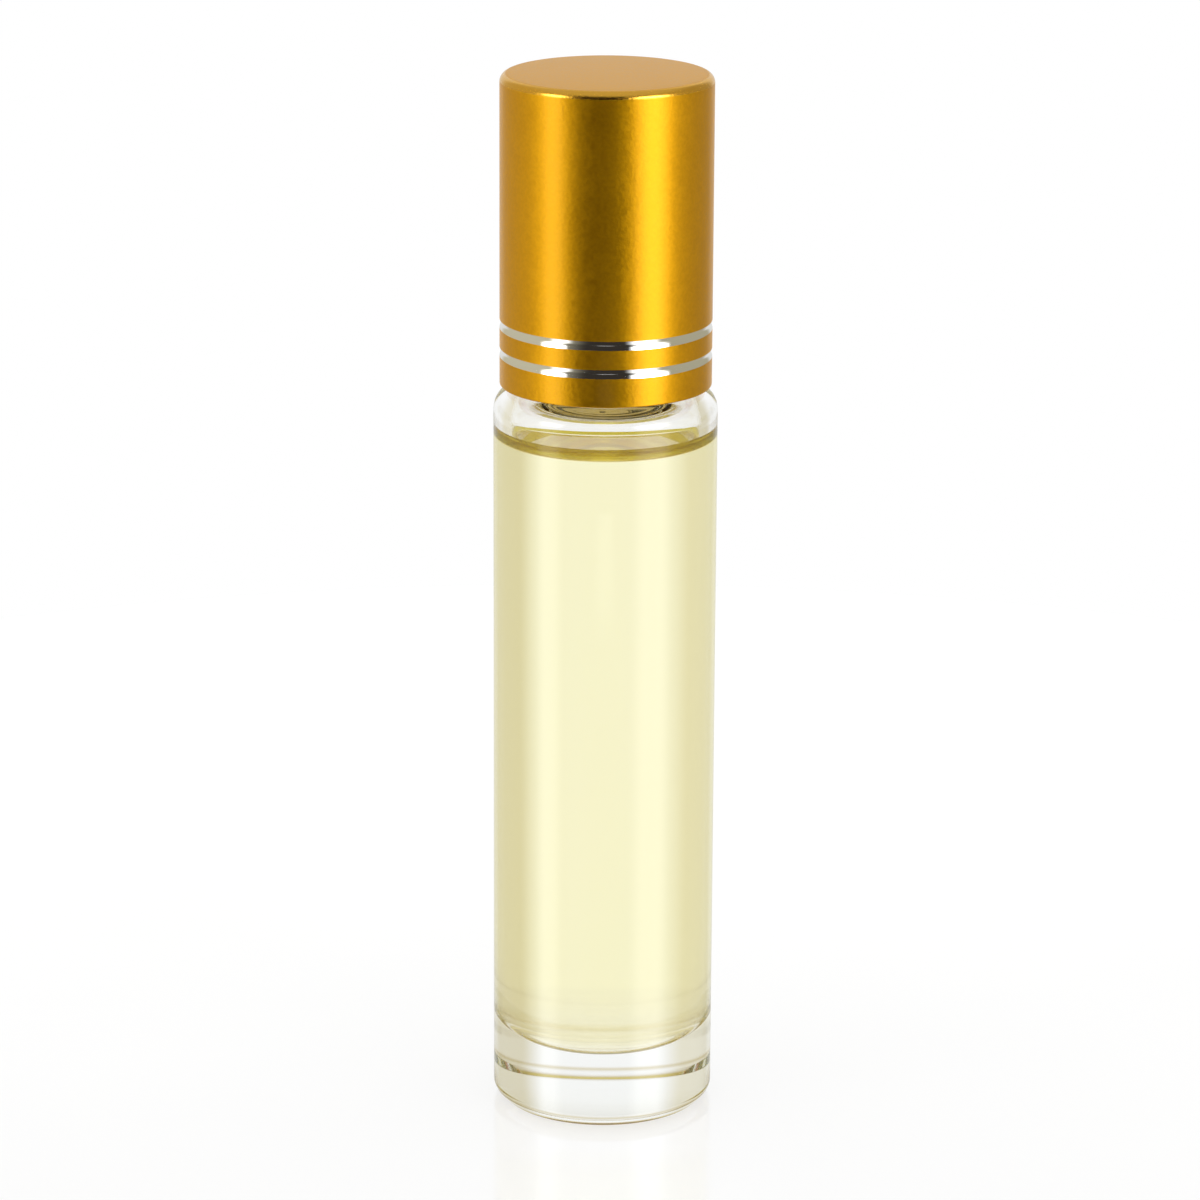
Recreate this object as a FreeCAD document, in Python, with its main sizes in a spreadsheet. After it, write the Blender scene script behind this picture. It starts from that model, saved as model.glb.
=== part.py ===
"""Roll-on perfume bottle: glass barrel, oil fill, roller fitment and screw cap."""
import FreeCAD
import Part
import Sketcher

import math
import os

# Driving dimensions in millimetres, with counts; heights are above the surface the bottle stands on
SIZES = {
    # Glass bottle
    "glass_radius": 10.0,
    "glass_wall": 1.65,
    "heel_bevel": 1.0,
    "foot_width": 2.0,
    "punt_depth": 0.6,
    "floor_height": 5.9,
    "floor_bevel": 2.4,
    "shoulder_height": 66.9,
    "shoulder_rounding": 2.0,
    "shoulder_width": 3.0,
    "shoulder_wall": 2.1,
    "shoulder_bevel": 1.4,
    "neck_wall": 1.5,
    "neck_entry_drop": 0.9,
    "lip_bevel": 0.3,
    # Oil fill
    "oil_clearance": 0.02,
    "headspace": 4.9,
    "meniscus_rise": 1.2,
    "meniscus_width": 1.6,
    # Roller ball and its housing
    "ball_inset": 0.5,
    "ball_rise": 3.3,
    "ball_clearance": 0.08,
    "cup_wall": 1.2,
    "cup_rise": 2.3,
    "cup_bevel": 0.5,
    "flange_width": 0.42,
    "flange_thickness": 0.9,
    "plug_depth": 7.0,
    "plug_relief": 0.2,
    "plug_wall": 0.85,
    "plug_lead": 0.5,
    "seat_inset": 1.3,
    "seat_width": 2.2,
    "seat_thickness": 0.5,
    "slot_width": 1.0,
    "slot_margin": 0.65,
    "slot_count": 4,
    "seal_clearance": 0.02,
    "seal_width": 0.8,
    "seal_first_drop": 5.6,
    "seal_spacing": 2.4,
    "seal_count": 2,
    # Sealing pad
    "pad_margin": 1.5,
    "pad_thickness": 1.5,
    "pad_dimple": 0.3,
    "pad_clearance": 0.05,
    "pad_side_clearance": 0.1,
    # Cap shell
    "cap_inset": 0.55,
    "cap_height": 27.9,
    "cap_gap": 0.3,
    "shell_wall": 0.45,
    "crown_thickness": 0.5,
    "crown_bevel": 0.5,
    "rim_bevel": 0.15,
    "band_width": 0.9,
    "band_depth": 0.12,
    "band_height": 3.0,
    "band_spacing": 2.535,
    "band_count": 2,
    # Cap liner
    "liner_clearance": 0.03,
    "liner_setback": 0.4,
    "thread_room": 0.8,
    "web_thickness": 1.2,
    "crown_room": 4.57,
    "bead_width": 0.2,
    "bead_height": 0.4,
    "grip_rib_height": 0.2,
    "grip_rib_width": 0.6,
    "grip_rib_setback": 0.75,
    "grip_rib_count": 12,
    "crown_rib_width": 0.8,
    "crown_rib_count": 6,
    # Room by which a cut runs past what it cuts
    "overrun": 1.0,
}

FULL_TURN = math.degrees(math.tau)

# How a sketch numbers its own axes and the two ends of an edge
ACROSS_AXIS, UP_AXIS = range(-1, -3, -1)
START, END = range(1, 3)
ORIGIN_POINT = (ACROSS_AXIS, START)


class Size:
    """A number from the sheet, kept with the expression that gives it."""

    def __init__(self, value, text):
        self.value = value
        self.text = text

    def __add__(self, other):
        return Size(self.value + other.value, f"({self.text} + {other.text})")

    def __sub__(self, other):
        return Size(self.value - other.value, f"({self.text} - {other.text})")

    def __mul__(self, other):
        factor = as_size(other)
        return Size(self.value * factor.value, f"({self.text} * {factor.text})")

    def __truediv__(self, other):
        divisor = as_size(other)
        return Size(self.value / divisor.value, f"({self.text} / {divisor.text})")

    def __neg__(self):
        return Size(-self.value, f"(-{self.text})")


ZERO = Size(0.0, "0")


def as_size(number):
    """A plain factor as a size, or a size as it is."""
    return number if isinstance(number, Size) else Size(number, str(number))


def leg(hypotenuse, other):
    """The third side of a right triangle, from its hypotenuse and one leg."""
    value = math.sqrt(hypotenuse.value ** 2 - other.value ** 2)
    return Size(value, f"sqrt({hypotenuse.text}^2 - {other.text}^2)")


def tangent_rise(radius, contact, across):
    """How far up from a circle's centre its tangent lies at a distance across, touching it at another."""
    return (radius * radius - contact * across) / leg(radius, contact)


class Corner:
    """A corner of an outline, with its own rounding or the radius of the arc that leaves it."""

    def __init__(self, across, up, rounding=None, arc=None, clockwise=False):
        self.across = across
        self.up = up
        self.rounding = rounding
        self.arc = arc
        self.clockwise = clockwise

    def point(self):
        return FreeCAD.Vector(self.across.value, self.up.value, 0)


document = FreeCAD.newDocument("roll_on_bottle")
sheet = document.addObject("Spreadsheet::Sheet", "Sizes")
for row, (alias, number) in enumerate(SIZES.items(), start=1):
    sheet.set(f"A{row}", alias)
    sheet.set(f"B{row}", str(number))
    sheet.setAlias(f"B{row}", alias)
document.recompute()


def size(alias):
    """The named cell of the sheet."""
    return Size(float(sheet.get(alias)), f"Sizes.{alias}")


def new_body(name):
    """An empty body whose label names the piece."""
    body = document.addObject("PartDesign::Body", name)
    body.Label = name
    return body


def origin_feature(body, role):
    """One of the body's own origin planes or axes."""
    return next(feature for feature in body.Origin.OriginFeatures if feature.Role == role)


def new_sketch(body, name, plane, height=ZERO):
    """An empty sketch on one of the body's planes, raised along the plane's normal."""
    sketch = body.newObject("Sketcher::SketchObject", name)
    sketch.AttachmentSupport = [(origin_feature(body, plane), "")]
    sketch.MapMode = "FlatFace"
    if height.value:
        sketch.setExpression(".AttachmentOffset.Base.z", height.text)
    return sketch


def bind(sketch, kind, arguments, length):
    """Adds a constraint whose value follows the sheet."""
    index = sketch.addConstraint(Sketcher.Constraint(kind, *arguments, length.value))
    sketch.setExpression(f"Constraints[{index}]", length.text)


def pin_vertex(sketch, vertex, corner):
    """Holds a vertex at the corner's place, measured from the sketch's origin."""
    for kind, axis, length in (("DistanceX", UP_AXIS, corner.across), ("DistanceY", ACROSS_AXIS, corner.up)):
        if length.value > 0:
            bind(sketch, kind, (*ORIGIN_POINT, *vertex), length)
        elif length.value < 0:
            bind(sketch, kind, (*vertex, *ORIGIN_POINT), -length)
        else:
            sketch.addConstraint(Sketcher.Constraint("PointOnObject", *vertex, axis))


def add_arc(sketch, start, end, radius, clockwise):
    """Adds the minor arc from start to end and returns its entry and exit vertices."""
    chord = end - start
    side = FreeCAD.Vector(-chord.y, chord.x, 0).normalize()
    height = math.sqrt(max(radius ** 2 - (chord.Length / 2) ** 2, 0))
    centre = (start + end) * 0.5 + side * (-height if clockwise else height)
    first, last = (end, start) if clockwise else (start, end)
    angles = [math.atan2(point.y - centre.y, point.x - centre.x) for point in (first, last)]
    circle = Part.Circle(centre, FreeCAD.Vector(0, 0, 1), radius)
    index = sketch.addGeometry(Part.ArcOfCircle(circle, *angles))
    return ((index, END), (index, START)) if clockwise else ((index, START), (index, END))


def rounded_ends(before, corner, after):
    """Where a corner's rounding leaves the two edges, and whether it turns clockwise."""
    place = corner.point()
    back = (before.point() - place).normalize()
    onward = (after.point() - place).normalize()
    reach = corner.rounding.value / math.tan(back.getAngle(onward) / 2)
    return place + back * reach, place + onward * reach, (onward.cross(back)).z < 0


def draw_outline(sketch, corners):
    """Draws a closed outline through the corners and ties every corner, rounding and arc to the sheet."""
    count = len(corners)
    entries, exits, roundings = [], [], []
    for index, corner in enumerate(corners):
        ends = (corner.point(), corner.point(), False)
        if corner.rounding:
            ends = rounded_ends(corners[index - 1], corner, corners[(index + 1) % count])
        entries.append(ends[0])
        exits.append(ends[1])
        roundings.append(ends[2])
    edges = []
    for index, corner in enumerate(corners):
        following = (index + 1) % count
        if corner.arc:
            edge = add_arc(sketch, exits[index], entries[following], corner.arc.value, corner.clockwise)
            bind(sketch, "Radius", (edge[0][0],), corner.arc)
        else:
            line = sketch.addGeometry(Part.LineSegment(exits[index], entries[following]))
            edge = ((line, START), (line, END))
        edges.append(edge)
    for index, corner in enumerate(corners):
        arriving, leaving = edges[index - 1][1], edges[index][0]
        if not corner.rounding:
            sketch.addConstraint(Sketcher.Constraint("Coincident", *arriving, *leaving))
            pin_vertex(sketch, leaving, corner)
            continue
        mark = sketch.addGeometry(Part.Point(corner.point()), True)
        pin_vertex(sketch, (mark, START), corner)
        for edge in (arriving, leaving):
            sketch.addConstraint(Sketcher.Constraint("PointOnObject", mark, START, edge[0]))
        arc = add_arc(sketch, entries[index], exits[index], corner.rounding.value, roundings[index])
        sketch.addConstraint(Sketcher.Constraint("Tangent", *arriving, *arc[0]))
        sketch.addConstraint(Sketcher.Constraint("Tangent", *arc[1], *leaving))
        bind(sketch, "Radius", (arc[0][0],), corner.rounding)


def turn(body, name, corners, kind="PartDesign::Revolution"):
    """Turns a half section about the bottle's axis, as added or as removed material."""
    section = new_sketch(body, f"{name}_section", "XZ_Plane")
    draw_outline(section, corners)
    feature = body.newObject(kind, name)
    feature.Profile = section
    feature.ReferenceAxis = (section, ["V_Axis"])
    feature.Angle = FULL_TURN
    section.Visibility = False
    return feature


def extrude(body, name, corners, height, length, kind):
    """Pads or pockets a plan outline from a height: a pad rises, a pocket sinks."""
    plan = new_sketch(body, f"{name}_plan", "XY_Plane", height)
    draw_outline(plan, corners)
    feature = body.newObject(kind, name)
    feature.Profile = plan
    feature.setExpression("Length", length.text)
    plan.Visibility = False
    return feature


def repeat_around(body, feature, count):
    """Repeats a feature evenly about the bottle's axis."""
    pattern = body.newObject("PartDesign::PolarPattern", f"{feature.Name}_ring")
    pattern.Originals = [feature]
    pattern.Axis = (origin_feature(body, "Z_Axis"), [""])
    pattern.Angle = FULL_TURN
    pattern.setExpression("Occurrences", count.text)
    body.Tip = pattern


def repeat_upwards(body, feature, spacing, count):
    """Repeats a feature along the bottle's axis."""
    pattern = body.newObject("PartDesign::LinearPattern", f"{feature.Name}_row")
    pattern.Originals = [feature]
    pattern.Direction = (origin_feature(body, "Z_Axis"), [""])
    pattern.setExpression("Length", f"{spacing.text} * ({count.text} - 1)")
    pattern.setExpression("Occurrences", count.text)
    body.Tip = pattern


# Radii that several pieces share
glass_radius = size("glass_radius")
cavity_radius = glass_radius - size("glass_wall")
neck_radius = glass_radius - size("shoulder_width")
neck_bore = neck_radius - size("neck_wall")
ball_radius = neck_bore - size("ball_inset")
socket_radius = ball_radius + size("ball_clearance")
pad_radius = ball_radius + size("pad_margin")
cap_radius = glass_radius - size("cap_inset")
shell_bore = cap_radius - size("shell_wall")

# Heights that several pieces share: the closed cap hangs the web, the pad, the ball and the lip below its crown
floor_height = size("floor_height")
shoulder_height = size("shoulder_height")
rim_height = shoulder_height + size("cap_gap")
cap_top = rim_height + size("cap_height")
crown_underside = cap_top - size("crown_thickness")
liner_top = crown_underside - size("liner_clearance")
web_top = liner_top - size("crown_room")
web_bottom = web_top - size("web_thickness")
pad_top = web_bottom - size("pad_clearance")
pad_bottom = pad_top - size("pad_thickness")
ball_top = pad_bottom + size("pad_dimple") - size("pad_clearance")
ball_height = ball_top - ball_radius
lip_height = ball_height - size("ball_rise")
overrun = size("overrun")


def glass_bottle():
    """Barrel with a heavy base over a shallow punt, a rounded shoulder and a plain neck."""
    body = new_body("glass_bottle")
    heel_bevel, floor_bevel = size("heel_bevel"), size("floor_bevel")
    lip_bevel, shoulder_bevel = size("lip_bevel"), size("shoulder_bevel")
    foot_radius = glass_radius - heel_bevel
    ceiling = shoulder_height - size("shoulder_wall")
    turn(body, "glass_wall", [
        Corner(ZERO, size("punt_depth")),
        Corner(foot_radius - size("foot_width"), ZERO),
        Corner(foot_radius, ZERO),
        Corner(glass_radius, heel_bevel),
        Corner(glass_radius, shoulder_height, size("shoulder_rounding")),
        Corner(neck_radius, shoulder_height),
        Corner(neck_radius, lip_height - lip_bevel),
        Corner(neck_radius - lip_bevel, lip_height),
        Corner(neck_bore, lip_height),
        Corner(neck_bore, shoulder_height - size("neck_entry_drop")),
        Corner(cavity_radius - shoulder_bevel, ceiling),
        Corner(cavity_radius, ceiling - shoulder_bevel),
        Corner(cavity_radius, floor_height + floor_bevel),
        Corner(cavity_radius - floor_bevel, floor_height),
        Corner(ZERO, floor_height),
    ])
    return body


def perfume_oil():
    """Oil that fills the barrel up to its level and climbs the wall as a meniscus."""
    body = new_body("perfume_oil")
    clearance, floor_bevel = size("oil_clearance"), size("floor_bevel")
    level = shoulder_height - size("headspace")
    oil_radius = cavity_radius - clearance
    oil_floor = floor_height + clearance
    turn(body, "oil_fill", [
        Corner(ZERO, oil_floor),
        Corner(oil_radius - floor_bevel, oil_floor),
        Corner(oil_radius, oil_floor + floor_bevel),
        Corner(oil_radius, level + size("meniscus_rise")),
        Corner(oil_radius - size("meniscus_width"), level),
        Corner(ZERO, level),
    ])
    return body


def roller_housing():
    """Plug with sealing beads, a flange on the lip and a cup whose mouth closes in over the ball."""
    body = new_body("roller_housing")
    cup_radius, cup_rise, cup_bevel = socket_radius + size("cup_wall"), size("cup_rise"), size("cup_bevel")
    cup_top = ball_height + cup_rise
    mouth_radius = leg(socket_radius, cup_rise)
    mouth_foot = ball_height + tangent_rise(socket_radius, mouth_radius, socket_radius)
    flange_radius = cup_radius + size("flange_width")
    flange_top = lip_height + size("flange_thickness")
    plug_radius = neck_bore - size("plug_relief")
    plug_bore = plug_radius - size("plug_wall")
    plug_bottom = lip_height - size("plug_depth")
    plug_lead = size("plug_lead")
    seat_radius = ball_radius - size("seat_inset")
    throat_radius = ball_radius - size("seat_width")
    seat_top = ball_height - tangent_rise(socket_radius, seat_radius, socket_radius)
    throat_top = ball_height - tangent_rise(socket_radius, seat_radius, throat_radius)
    seat_underside = throat_top - size("seat_thickness")
    turn(body, "housing_wall", [
        Corner(plug_bore, plug_bottom),
        Corner(plug_radius - plug_lead / 2, plug_bottom),
        Corner(plug_radius, plug_bottom + plug_lead),
        Corner(plug_radius, lip_height),
        Corner(flange_radius, lip_height),
        Corner(flange_radius, flange_top),
        Corner(cup_radius, flange_top),
        Corner(cup_radius, cup_top - cup_bevel),
        Corner(cup_radius - cup_bevel, cup_top),
        Corner(mouth_radius, cup_top),
        Corner(socket_radius, mouth_foot),
        Corner(socket_radius, seat_top),
        Corner(throat_radius, throat_top),
        Corner(throat_radius, seat_underside),
        Corner(plug_bore, seat_underside),
    ])
    half_bead = size("seal_width") / 2
    bead_middle = lip_height - size("seal_first_drop") + half_bead
    bead_root = plug_radius - size("plug_wall") / 2
    bead = turn(body, "seal_bead", [
        Corner(bead_root, bead_middle - half_bead),
        Corner(plug_radius, bead_middle - half_bead),
        Corner(neck_bore - size("seal_clearance"), bead_middle),
        Corner(plug_radius, bead_middle + half_bead),
        Corner(bead_root, bead_middle + half_bead),
    ])
    repeat_upwards(body, bead, size("seal_spacing"), size("seal_count"))
    half_slot = size("slot_width") / 2
    slot_end = plug_bore - size("slot_margin")
    slot = extrude(body, "flow_slot", [
        Corner(ZERO, -half_slot),
        Corner(slot_end, -half_slot),
        Corner(slot_end, half_slot),
        Corner(ZERO, half_slot),
    ], ball_height, ball_height - seat_underside + overrun, "PartDesign::Pocket")
    repeat_around(body, slot, size("slot_count"))
    return body


def roller_ball():
    """Steel ball, held by the housing's mouth."""
    ball = document.addObject("Part::Sphere", "roller_ball")
    ball.Label = "roller_ball"
    ball.setExpression("Radius", ball_radius.text)
    ball.setExpression(".Placement.Base.z", ball_height.text)
    return ball


def sealing_pad():
    """Foam disc, dimpled where the closed cap presses it on the ball."""
    body = new_body("sealing_pad")
    dimple_radius = ball_radius + size("pad_clearance")
    turn(body, "pad_disc", [
        Corner(ZERO, ball_height + dimple_radius, arc=dimple_radius, clockwise=True),
        Corner(leg(dimple_radius, pad_bottom - ball_height), pad_bottom),
        Corner(pad_radius, pad_bottom),
        Corner(pad_radius, pad_top),
        Corner(ZERO, pad_top),
    ])
    return body


def cap_shell():
    """Drawn metal shell with an eased crown and two bright bands cut into it above the rim."""
    body = new_body("cap_shell")
    rim_bevel, crown_bevel = size("rim_bevel"), size("crown_bevel")
    turn(body, "shell_wall_turned", [
        Corner(shell_bore, rim_height),
        Corner(cap_radius - rim_bevel, rim_height),
        Corner(cap_radius, rim_height + rim_bevel),
        Corner(cap_radius, cap_top - crown_bevel),
        Corner(cap_radius - crown_bevel, cap_top),
        Corner(ZERO, cap_top),
        Corner(ZERO, crown_underside),
        Corner(shell_bore, crown_underside),
    ])
    band_width, depth = size("band_width"), size("band_depth")
    middle = rim_height + size("band_height")
    groove = turn(body, "bright_band", [
        Corner(cap_radius - depth, middle),
        Corner(cap_radius + depth, middle - band_width),
        Corner(cap_radius + depth, middle + band_width),
    ], "PartDesign::Groove")
    repeat_upwards(body, groove, size("band_spacing"), size("band_count"))
    return body


def cap_liner():
    """Moulded inner cap: a bore for the neck, a web over a bead that keeps the pad, and ribs."""
    body = new_body("cap_liner")
    grip_radius = shell_bore - size("liner_clearance")
    rib_height = size("grip_rib_height")
    liner_radius = grip_radius - rib_height
    bore = neck_radius + size("thread_room")
    liner_bottom = rim_height + size("liner_setback")
    pad_seat = pad_radius + size("pad_side_clearance")
    bead_radius = pad_radius - size("bead_width")
    bead_top = pad_bottom - size("pad_clearance")
    bead_bottom = bead_top - size("bead_height")
    turn(body, "liner_wall", [
        Corner(bore, liner_bottom),
        Corner(liner_radius, liner_bottom),
        Corner(liner_radius, liner_top),
        Corner(bore, liner_top),
        Corner(bore, web_top),
        Corner(ZERO, web_top),
        Corner(ZERO, web_bottom),
        Corner(pad_seat, web_bottom),
        Corner(pad_seat, bead_top),
        Corner(bead_radius, bead_top),
        Corner(bead_radius, bead_bottom),
        Corner(bore, bead_bottom - (bore - bead_radius)),
    ])
    half_grip = size("grip_rib_width") / 2
    grip_root, grip_face = liner_radius - rib_height, leg(grip_radius, half_grip)
    setback = size("grip_rib_setback")
    grip_rib = extrude(body, "grip_rib", [
        Corner(grip_root, -half_grip),
        Corner(grip_face, -half_grip),
        Corner(grip_face, half_grip),
        Corner(grip_root, half_grip),
    ], liner_bottom + setback, liner_top - liner_bottom - setback * 2, "PartDesign::Pad")
    repeat_around(body, grip_rib, size("grip_rib_count"))
    half_rib = size("crown_rib_width") / 2
    rib_end = (bore + liner_radius) / 2
    rib_foot = web_top - size("web_thickness") / 2
    crown_rib = extrude(body, "crown_rib", [
        Corner(ZERO, -half_rib),
        Corner(rib_end, -half_rib),
        Corner(rib_end, half_rib),
        Corner(ZERO, half_rib),
    ], rib_foot, liner_top - rib_foot, "PartDesign::Pad")
    repeat_around(body, crown_rib, size("crown_rib_count"))
    return body


pieces = [glass_bottle(), perfume_oil(), roller_housing(), roller_ball(), sealing_pad(), cap_shell(), cap_liner()]
document.recompute()

failed = [item.Name for item in document.Objects if {"Invalid", "Error"} & set(item.State)]
if failed:
    raise RuntimeError(f"failed to build: {failed}")
for piece in pieces:
    if piece.Shape.isNull() or not piece.Shape.isValid() or len(piece.Shape.Solids) != 1:
        raise RuntimeError(f"{piece.Label} is not one valid solid")

os.makedirs("parts", exist_ok=True)
for piece in pieces:
    piece.Shape.exportStep(f"parts/{piece.Label}.step")
    print(f"{piece.Label}: volume {piece.Shape.Volume:.1f} mm3")
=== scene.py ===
"""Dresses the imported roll-on bottle: glass, pale oil, steel roller and gold cap on a white table."""

import logging
import math
from collections.abc import Mapping, Sequence
from dataclasses import dataclass, field
from enum import Enum
from typing import Any

import bmesh
import bpy
from mathutils import Matrix, Vector

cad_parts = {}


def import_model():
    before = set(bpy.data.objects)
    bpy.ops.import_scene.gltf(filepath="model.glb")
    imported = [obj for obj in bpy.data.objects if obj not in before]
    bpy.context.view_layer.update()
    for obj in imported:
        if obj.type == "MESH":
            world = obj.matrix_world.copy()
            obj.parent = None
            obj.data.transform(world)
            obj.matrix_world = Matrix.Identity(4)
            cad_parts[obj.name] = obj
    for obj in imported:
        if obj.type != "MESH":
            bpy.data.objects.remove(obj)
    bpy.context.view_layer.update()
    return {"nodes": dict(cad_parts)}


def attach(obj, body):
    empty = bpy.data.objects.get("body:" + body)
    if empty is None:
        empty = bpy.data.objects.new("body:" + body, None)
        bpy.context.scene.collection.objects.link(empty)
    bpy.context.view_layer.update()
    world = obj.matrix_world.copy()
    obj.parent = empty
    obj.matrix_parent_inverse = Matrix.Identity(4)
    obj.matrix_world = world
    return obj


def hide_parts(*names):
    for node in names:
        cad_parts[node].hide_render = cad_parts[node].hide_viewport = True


LOG = logging.getLogger("roll_on_bottle")

MM = 0.001
AXIS = Vector((0.0, 0.0, 1.0))
MERGE_REACH = 1e-7
WALL_REACH = 1e-6
IMAGE_SIDE = 1200
WHITE = (1.0, 1.0, 1.0, 1.0)
BLACK = (0.0, 0.0, 0.0, 1.0)


class Body(Enum):
    """The moving bodies that pieces ride on."""

    BOTTLE = "bottle"
    BALL = "ball"
    PAD = "pad"
    CAP = "cap"


class Slot(Enum):
    """The record's material slots."""

    GLASS = "clear_glass"
    OIL = "oil"
    HOUSING = "natural_plastic"
    STEEL = "ball_steel"
    FOAM = "pad_foam"
    GOLD = "gold_aluminium"
    LINER = "liner_plastic"


class ThreadSide(Enum):
    """Which way a thread stands up from its wall."""

    OUTWARD = 1.0
    INWARD = -1.0


class Value:
    """A node's output that takes part in Python expressions."""

    def __init__(self, graph: "Graph", socket: bpy.types.NodeSocket) -> None:
        """Keeps the socket and the graph that adds its Math nodes."""
        self.graph = graph
        self.socket = socket

    def __add__(self, other: "Value | float") -> "Value":
        """Sum."""
        return self.graph.maths("ADD", self, other)

    __radd__ = __add__

    def __sub__(self, other: "Value | float") -> "Value":
        """Difference."""
        return self.graph.maths("SUBTRACT", self, other)

    def __rsub__(self, other: "Value | float") -> "Value":
        """Difference from a number."""
        return self.graph.maths("SUBTRACT", other, self)

    def __mul__(self, other: "Value | float") -> "Value":
        """Product."""
        return self.graph.maths("MULTIPLY", self, other)

    __rmul__ = __mul__


class Graph:
    """A node tree that is written as expressions."""

    def __init__(self, tree: bpy.types.NodeTree) -> None:
        """Empties the tree, ready for its own nodes."""
        self.tree = tree
        tree.nodes.clear()

    def node(
        self,
        kind: str,
        settings: Mapping[str, Any] | None = None,
        inputs: Mapping[str | int, Any] | None = None,
        output: str | int = 0,
    ) -> Value:
        """Adds a node.

        Args:
            kind: The node's type.
            settings: Its properties, which are set first.
            inputs: Values or links of its sockets, by identifier or place.
            output: The output that the result stands for, by identifier or place.

        Returns:
            The output as a value, empty for a node with no outputs.
        """
        made = self.tree.nodes.new(kind)
        for name, setting in (settings or {}).items():
            setattr(made, name, setting)
        for name, given in (inputs or {}).items():
            socket = self._socket(made.inputs, name)
            if isinstance(given, Value):
                self.tree.links.new(given.socket, socket)
            else:
                socket.default_value = given
        return Value(self, self._socket(made.outputs, output) if made.outputs else None)

    @staticmethod
    def _socket(sockets: bpy.types.bpy_prop_collection, name: str | int) -> bpy.types.NodeSocket:
        """Finds a socket.

        Args:
            sockets: A node's inputs or outputs.
            name: The socket's place or identifier.

        Returns:
            The socket.
        """
        if isinstance(name, int):
            return sockets[name]
        return next(socket for socket in sockets if socket.identifier == name)

    def maths(self, operation: str, *numbers: "Value | float") -> Value:
        """Adds a Math node for one operation."""
        return self.node("ShaderNodeMath", {"operation": operation}, dict(enumerate(numbers)))

    def step(self, value: Value, low: float, high: float) -> Value:
        """Eases from 0 to 1.

        Args:
            value: What is compared.
            low: Where it is 0, which may also be the higher number.
            high: Where it is 1.

        Returns:
            The eased share.
        """
        return self.node(
            "ShaderNodeMapRange",
            {"interpolation_type": "SMOOTHSTEP"},
            {"Value": value, "From Min": low, "From Max": high},
        )

    def ridge(self, value: Value, middle: float, reach: float) -> Value:
        """Eases from 0 up to 1 at a middle, and down again."""
        return self.step(value, middle - reach, middle) - self.step(value, middle, middle + reach)

    def mix(self, factor: Value, first: Any, second: Any) -> Value:
        """Mixes two colours.

        Args:
            factor: The second colour's share.
            first: A colour, or a value that carries one.
            second: A colour, or a value that carries one.

        Returns:
            The mixed colour.
        """
        return self.node(
            "ShaderNodeMix",
            {"data_type": "RGBA"},
            {"Factor_Float": factor, "A_Color": first, "B_Color": second},
            "Result_Color",
        )

    def place(self) -> Value:
        """The point on the piece, in metres."""
        return self.node("ShaderNodeTexCoord", output="Object")

    def along(self, axis: str) -> Value:
        """The point's place along one axis, in metres."""
        return self.node("ShaderNodeSeparateXYZ", None, {0: self.place()}, axis)

    def noise(
        self, size_mm: float, detail: float = 2.0, stretch: Sequence[float] = (1.0, 1.0, 1.0)
    ) -> Value:
        """Adds noise whose grains have a real size.

        Args:
            size_mm: The size of a grain.
            detail: How many finer layers it has.
            stretch: How much longer a grain is along each axis.

        Returns:
            The noise, about 0.5 on average.
        """
        scale = [1.0 / (size_mm * MM * length) for length in stretch]
        placed = self.node("ShaderNodeMapping", None, {"Vector": self.place(), "Scale": scale})
        inputs = {"Vector": placed, "Scale": 1.0, "Detail": detail}
        return self.node("ShaderNodeTexNoise", None, inputs, "Fac")

    def bump(self, height: Value, depth_mm: float, strength: float) -> Value:
        """Turns a height pattern into a normal.

        Args:
            height: The pattern, from 0 to 1.
            depth_mm: The depth that 1 stands for.
            strength: The share of the effect.

        Returns:
            The bumped normal.
        """
        inputs = {"Strength": strength, "Distance": depth_mm * MM, "Height": height}
        return self.node("ShaderNodeBump", None, inputs)


@dataclass(frozen=True)
class Finish:
    """A finish that paints one material."""

    label: str

    def material(self) -> bpy.types.Material:
        """Makes the material.

        Returns:
            The material, with its nodes.
        """
        material = bpy.data.materials.new(self.label)
        material.use_nodes = True
        graph = Graph(material.node_tree)
        outputs = self.paint(graph)
        graph.node("ShaderNodeOutputMaterial", None, outputs)
        return material

    def paint(self, graph: Graph) -> dict[str, Value]:
        """Adds the finish's nodes and returns what feeds the output."""
        raise NotImplementedError


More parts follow.
